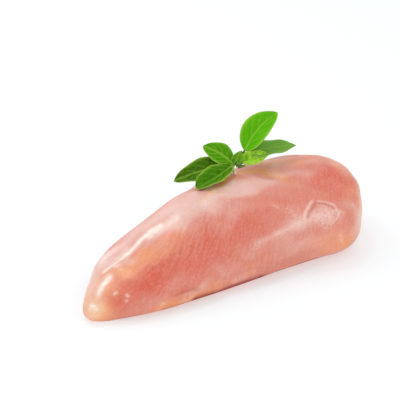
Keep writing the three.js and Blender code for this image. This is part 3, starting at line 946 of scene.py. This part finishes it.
def centred_noise(group, given, detail, roughness):
    """Noise about 0, whose waves have the group's size in millimetres."""
    scale = math_node(group, "DIVIDE", 1000.0, given.outputs["Size mm"])
    noise = node_of(group, "ShaderNodeTexNoise", noise_dimensions="3D",
                    inputs={"Detail": detail, "Roughness": roughness})
    link(group, given.outputs["Place"], noise.inputs["Vector"])
    link(group, scale, noise.inputs["Scale"])
    return less(group, noise.outputs[0], 0.5)


def make_mottle_group():
    """Soft mottling from 0 to 1: noise of a size in millimetres, spread by its contrast."""
    group, given, result = new_group(
        "Soft mottling",
        [("Place", "NodeSocketVector", None), ("Size mm", "NodeSocketFloat", 8.0),
         ("Contrast", "NodeSocketFloat", 1.0)],
        "Value",
    )
    spread = times(group, centred_noise(group, given, 3.0, 0.55), given.outputs["Contrast"])
    link(group, plus(group, spread, 0.5, clamp=True), result.inputs["Value"])
    return group


def make_ridge_group():
    """A net of thin lines from 0 to 1, where noise of a size in millimetres passes its middle value."""
    group, given, result = new_group(
        "Thin ridges",
        [("Place", "NodeSocketVector", None), ("Size mm", "NodeSocketFloat", 2.0),
         ("Thin", "NodeSocketFloat", 9.0)],
        "Value",
    )
    apart = math_node(group, "ABSOLUTE", centred_noise(group, given, 2.0, 0.5), 0.0)
    value = less(group, 1.0, times(group, apart, given.outputs["Thin"]), clamp=True)
    link(group, value, result.inputs["Value"])
    return group


FIBRE_STREAKS = make_fibre_group()
MOTTLING = make_mottle_group()
THIN_RIDGES = make_ridge_group()


def group_node(tree, group, place, **values):
    """A group placed in a material, reading its place from a socket, with the material's own values."""
    made = tree.nodes.new("ShaderNodeGroup")
    made.node_tree = group
    link(tree, place, made.inputs["Place"])
    for name, value in values.items():
        made.inputs[name.replace("_", " ")].default_value = value
    return made.outputs[0]


def mottling(tree, place, size, contrast):
    """Soft mottling of a size in millimetres, placed in a material."""
    return group_node(tree, MOTTLING, place, Size_mm=size, Contrast=contrast)


def new_material(name, **values):
    """A material, its tree, and its Principled BSDF with the values of its plain sockets set by name."""
    material = bpy.data.materials.new(name)
    material.use_nodes = True
    tree = material.node_tree
    shader = next(n for n in tree.nodes if n.type == "BSDF_PRINCIPLED")
    for socket_name, value in values.items():
        shader.inputs[socket_name.replace("_", " ")].default_value = value
    return material, tree, shader


def object_place(tree):
    """The socket of the object's own coordinates."""
    return tree.nodes.new("ShaderNodeTexCoord").outputs["Object"]


def mark_of(tree, name):
    """The value of one of the piece's attributes."""
    return node_of(tree, "ShaderNodeAttribute", attribute_name=name).outputs["Fac"]


def finish(tree, shader, colour, roughness, height, strength, distance):
    """Joins a colour, a roughness and a bump of a height to the shader."""
    link(tree, colour, shader.inputs["Base Color"])
    link(tree, roughness, shader.inputs["Roughness"])
    bump = node_of(tree, "ShaderNodeBump", inputs={"Strength": strength, "Distance": distance})
    link(tree, height, bump.inputs["Height"])
    link(tree, bump.outputs[0], shader.inputs["Normal"])


# Colours of the flesh. The amber is partly painted shade and glow of the sprig, the pale film partly painted
# sheen, the cream partly painted light, the white partly painted highlight and glint, and the deep red is
# painted shade.
FLESH_PINK = srgb(218, 128, 104)
FLESH_RED = srgb(212, 84, 60)
FLESH_PEACH = srgb(238, 150, 100)
AMBER_AND_SHADE_TINT = srgb(244, 158, 56)
SHADE_RED = srgb(142, 52, 42)
FLESH_LILAC = srgb(220, 158, 154)
PALE_FILM_AND_SHEEN_TINT = srgb(235, 199, 189)
WHITE_FILM_AND_GLINT = srgb(252, 230, 218)
CREAM_FAT_AND_LIGHT = srgb(252, 216, 178)
FIBRE_DARK = srgb(176, 72, 58)
FIBRE_LIGHT = srgb(240, 186, 160)
THREAD_PALE = srgb(250, 206, 184)
GRAIN_PALE = srgb(250, 204, 186)
GRAIN_RED = srgb(190, 84, 66)

# The flesh's mottles by size in millimetres and contrast, and how much a mottle varies each tint.
FLESH_MOTTLES = {"broad": (16.0, 1.6), "patchy": (9.0, 3.0), "small": (3.0, 1.4), "tiny": (1.3, 1.8)}
TINT_VARIES = {"peach_muscle": 0.4, "red_muscle": 0.5, "pale_film_and_sheen": 0.35, "fat_and_painted_light": 0.3, "amber_and_sprig_shade": 0.4,
               "white_film_and_highlights": 1.2}

# How strongly each layer of the flesh shows in its colour, and how high it stands in its bump.
FLESH_LAYERS = {"lilac": 0.3, "dark_fibre": 0.1, "light_fibre": 0.12, "thread": 0.2, "grain": 0.3,
                "folds": 0.42}
FLESH_HEIGHTS = {"fibre": 0.6, "thread": 0.5, "small": 0.7, "tiny": 0.4, "folds": 1.4}
FLESH_BUMP = {"strength": 0.25, "distance": 0.0003}
FLESH_ROUGHNESS = (0.34, 0.5)
SHADE_DULLNESS = 0.45
FLESH_COAT = {"all_over": 0.12, "wet_adds": 0.85}
THREAD_SHARPNESS = 4.0


def make_flesh_material():
    """Wet raw muscle: pink with lilac mottling, and with red, peach, orange-brown and pale parts where their
    attributes say, the orange-brown partly painted shade and glow of the sprig and the pale partly painted
    sheen.
    It is streaked along its fibres, flecked with painted glints where its film is crinkled, given painted
    highlights and painted shade, and under a thin wet coat that the painted shade dulls."""
    material, tree, shader = new_material(
        "raw_flesh", Specular_IOR_Level=0.35, Subsurface_Weight=0.18, Subsurface_Radius=(1.0, 0.35, 0.22),
        Subsurface_Scale=0.004, Coat_Roughness=0.1,
    )
    place = object_place(tree)
    flow = node_of(tree, "ShaderNodeUVMap", uv_map="fibre_flow").outputs[0]
    broad = mottling(tree, place, *FLESH_MOTTLES["broad"])
    patchy = mottling(tree, place, *FLESH_MOTTLES["patchy"])
    small = mottling(tree, place, *FLESH_MOTTLES["small"])
    tiny = mottling(tree, place, *FLESH_MOTTLES["tiny"])
    ridges = group_node(tree, THIN_RIDGES, place, Size_mm=1.6, Thin=8.0)
    fibrous = mark_of(tree, "fibrous")
    streak = group_node(tree, FIBRE_STREAKS, flow, Stretch=(70.0, 600.0, 1.0), Wander=0.4)
    streak = times(tree, streak, fibrous)
    thread = group_node(tree, FIBRE_STREAKS, flow, Stretch=(80.0, 400.0, 1.0), Wander=0.3)
    thread = less(tree, 1.0, math_node(tree, "ABSOLUTE", thread, 0.0))
    thread = times(tree, math_node(tree, "POWER", thread, THREAD_SHARPNESS), fibrous)
    # The crinkled film's thin ridges: real relief in the bump, and painted glints in the colour.
    folds = times(tree, ridges, mark_of(tree, "crinkled"))
    grain = less(tree, tiny, 0.5)
    shade_mark = mark_of(tree, "painted_shade")

    def varied(mark, noise):
        change = plus(tree, times(tree, less(tree, noise, 0.5), TINT_VARIES[mark]), 1.0)
        return plus(tree, times(tree, mark_of(tree, mark), change), 0.0, clamp=True)

    def shown(value, layer):
        return times(tree, above_zero(tree, value), FLESH_LAYERS[layer])

    # Of these layers the folds are painted glints, the white film partly painted highlights, the pale film
    # partly painted sheen, the orange-brown partly painted shade and glow of the sprig, the cream partly
    # painted light, and the last is painted shade.
    colour = layered(tree, FLESH_PINK, [
        (varied("peach_muscle", broad), FLESH_PEACH),
        (shown(patchy, "lilac"), FLESH_LILAC),
        (varied("red_muscle", broad), FLESH_RED),
        (varied("pale_film_and_sheen", small), PALE_FILM_AND_SHEEN_TINT),
        (varied("fat_and_painted_light", small), CREAM_FAT_AND_LIGHT),
        (varied("amber_and_sprig_shade", small), AMBER_AND_SHADE_TINT),
        (shown(streak, "dark_fibre"), FIBRE_DARK),
        (shown(times(tree, streak, -1.0), "light_fibre"), FIBRE_LIGHT),
        (shown(thread, "thread"), THREAD_PALE),
        (shown(grain, "grain"), GRAIN_PALE),
        (shown(times(tree, grain, -1.0), "grain"), GRAIN_RED),
        (shown(folds, "folds"), WHITE_FILM_AND_GLINT),
        (varied("white_film_and_highlights", small), WHITE_FILM_AND_GLINT),
        (shade_mark, SHADE_RED),
    ])
    dullness = plus(tree, ranged(tree, small, *FLESH_ROUGHNESS), times(tree, shade_mark, SHADE_DULLNESS), clamp=True)
    height = times(tree, streak, FLESH_HEIGHTS["fibre"])
    for layer, value in (("thread", thread), ("small", small), ("tiny", tiny), ("folds", folds)):
        height = plus(tree, height, times(tree, value, FLESH_HEIGHTS[layer]))
    finish(tree, shader, colour, dullness, height, **FLESH_BUMP)
    wet = plus(tree, times(tree, mark_of(tree, "wet_film"), FLESH_COAT["wet_adds"]), FLESH_COAT["all_over"])
    link(tree, times(tree, wet, less(tree, 1.0, shade_mark)), shader.inputs["Coat Weight"])
    return material


LEAF_GREEN = srgb(84, 180, 0)
LEAF_YOUNG = srgb(152, 204, 36)
LEAF_DARK = srgb(38, 74, 0)
LEAF_BLOTCH = srgb(54, 130, 0)
LEAF_GRAIN = srgb(104, 178, 0)
LEAF_CRUMPLE = srgb(92, 150, 20)
VEIN_GREEN = srgb(204, 240, 96)
RIM_GREEN = srgb(190, 220, 90)
LEAF_BELOW = srgb(128, 160, 84)

# The leaf's mottles by size and contrast, and the spans of its mark over which it turns from dark to green
# and from green to young.
LEAF_MOTTLES = {"blotch": (5.0, 1.6), "grain": (0.9, 1.5), "crumple": (2.4, 5.0)}
TURNS_GREEN = (0.0, 0.4)
TURNS_YOUNG = (0.45, 1.0)

# How strongly each layer of a leaf shows. The net of fine veins shows more in a young leaf.
LEAF_LAYERS = {"blotch": 0.3, "grain": 0.25, "crumple": 0.5, "vein": 0.42, "rim": 0.75, "under": 0.6}
LEAF_NET = {"all": 0.06, "young_adds": 0.4}
LEAF_BUMP = {"strength": 0.4, "distance": 0.0001}
LEAF_ROUGHNESS = (0.42, 0.6)


def make_leaf_material():
    """Fresh leaf: green that is darker in old leaves, and yellower and crumpled in young ones, with paler
    veins, a paler rim and a dull paler underside."""
    material, tree, shader = new_material(
        "fresh_leaf", Specular_IOR_Level=0.03, Subsurface_Weight=0.12, Subsurface_Radius=(0.4, 1.0, 0.1),
        Subsurface_Scale=0.001,
    )
    place = object_place(tree)
    young = mark_of(tree, "young")
    youth = risen(tree, young, *TURNS_YOUNG)
    blotch = mottling(tree, place, *LEAF_MOTTLES["blotch"])
    grain = mottling(tree, place, *LEAF_MOTTLES["grain"])
    crumple = times(tree, mottling(tree, place, *LEAF_MOTTLES["crumple"]), youth)
    net = group_node(tree, THIN_RIDGES, place, Size_mm=2.2, Thin=8.0)
    netted = plus(tree, times(tree, youth, LEAF_NET["young_adds"]), LEAF_NET["all"])

    def shown(value, layer):
        return times(tree, value, LEAF_LAYERS[layer])

    colour = layered(tree, LEAF_DARK, [
        (risen(tree, young, *TURNS_GREEN), LEAF_GREEN),
        (youth, LEAF_YOUNG),
        (shown(blotch, "blotch"), LEAF_BLOTCH),
        (shown(grain, "grain"), LEAF_GRAIN),
        (shown(crumple, "crumple"), LEAF_CRUMPLE),
        (times(tree, net, netted), VEIN_GREEN),
        (shown(mark_of(tree, "vein"), "vein"), VEIN_GREEN),
        (shown(mark_of(tree, "rim"), "rim"), RIM_GREEN),
        (shown(mark_of(tree, "under"), "under"), LEAF_BELOW),
    ])
    dullness = ranged(tree, grain, *LEAF_ROUGHNESS)
    finish(tree, shader, colour, dullness, less(tree, grain, net), **LEAF_BUMP)
    return material


STEM_GREEN = srgb(166, 200, 96)
STEM_BLOTCH = srgb(132, 172, 62)
SHOOT_GREEN = srgb(72, 124, 14)
CUT_PITH = srgb(244, 196, 168)
STEM_MOTTLE = (1.6, 1.6)
STEM_BLOTCHES = 0.4
STEM_BUMP = {"strength": 0.3, "distance": 0.0001}
STEM_ROUGHNESS = (0.4, 0.6)


def make_stem_material():
    """Soft stem: pale green with soft mottling, darker shoots that pale towards their tips, and pale pink
    pith at the cut foot."""
    material, tree, shader = new_material("soft_stem")
    blotch = mottling(tree, object_place(tree), *STEM_MOTTLE)
    colour = layered(tree, STEM_GREEN, [
        (times(tree, blotch, STEM_BLOTCHES), STEM_BLOTCH),
        (mark_of(tree, "shoot"), SHOOT_GREEN),
        (mark_of(tree, "cut"), CUT_PITH),
    ])
    finish(tree, shader, colour, ranged(tree, blotch, *STEM_ROUGHNESS), blotch, **STEM_BUMP)
    return material


FLOOR_HALF = 3.0
FLOOR_LOOK = {
    "Base_Color": (0.54, 0.58, 0.59, 1), "Roughness": 0.6,
    "Emission_Color": (1, 0.98, 0.98, 1), "Emission_Strength": 0.42,
}


def add_floor():
    """A plain pale floor, which isn't part of the object."""
    half = FLOOR_HALF
    corners = [(-half, -half, 0), (half, -half, 0), (half, half, 0), (-half, half, 0)]
    mesh = bpy.data.meshes.new("floor")
    mesh.from_pydata(corners, [], [(0, 1, 2, 3)])
    floor = bpy.data.objects.new("floor", mesh)
    bpy.context.scene.collection.objects.link(floor)
    mesh.materials.append(new_material("pale_floor", **FLOOR_LOOK)[0])


def aim(thing, target, azimuth, elevation, distance):
    """Places a light or the camera round a target, looking at it. Azimuth 0 is the near side, 90 the thick
    end."""
    a, e = math.radians(azimuth), math.radians(elevation)
    back = Vector((math.sin(a) * math.cos(e), -math.cos(a) * math.cos(e), math.sin(e)))
    thing.location = Vector(target) + back * distance
    thing.rotation_mode = "QUATERNION"
    thing.rotation_quaternion = (-back).to_track_quat("-Z", "Y")
    bpy.context.scene.collection.objects.link(thing)


# Square lights round the object: azimuth, elevation, distance and size in metres, and power.
SOFTBOXES = {
    "front_softbox": (20, 42, 0.8, 0.34, 0.65),
    "key_softbox": (-150, 46, 1.0, 0.4, 1.2),
    "back_softbox": (180, 14, 1.0, 0.3, 0.4),
    "tip_softbox": (-175, 70, 0.8, 0.13, 0.5),
    "nose_softbox": (-34, 25, 0.9, 0.1, 0.4),
}
LIT_PLACE = (0, 0, 0.02)
SURROUND = {"Color": (0.97, 0.985, 1.0, 1), "Strength": 0.84}


def add_studio():
    """An even white surround, and softboxes in front, behind and overhead."""
    world = bpy.data.worlds.new("studio")
    world.use_nodes = True
    for name, value in SURROUND.items():
        world.node_tree.nodes["Background"].inputs[name].default_value = value
    bpy.context.scene.world = world
    for name, (azimuth, elevation, distance, size, power) in SOFTBOXES.items():
        light = bpy.data.lights.new(name, "AREA")
        light.shape = "SQUARE"
        light.size = size
        light.energy = power
        aim(bpy.data.objects.new(name, light), LIT_PLACE, azimuth, elevation, distance)


CAMERA_PLACE = {"target": (0.0246, 0.06215, -0.0025), "azimuth": -28, "elevation": 27, "distance": 0.57}
LENS = 85
SENSOR_WIDTH = 36


def add_camera():
    """The camera at the photograph's angle."""
    data = bpy.data.cameras.new("camera")
    data.lens = LENS
    data.sensor_width = SENSOR_WIDTH
    camera = bpy.data.objects.new("camera", data)
    aim(camera, **CAMERA_PLACE)
    bpy.context.scene.camera = camera


def dress(piece, material, node):
    """Gives a piece its material, and ties it to the frame in place of a CAD node."""
    piece.data.materials.append(material)
    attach(piece, "root")
    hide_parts(node)


add_camera()
add_studio()
add_floor()
dress(make_breast(), make_flesh_material(), "chicken_breast")
dress(make_leaves(), make_leaf_material(), "herb_sprig")
dress(make_stem(), make_stem_material(), "herb_sprig")
bpy.context.scene.view_settings.view_transform = "Standard"

bpy.context.view_layer.update()
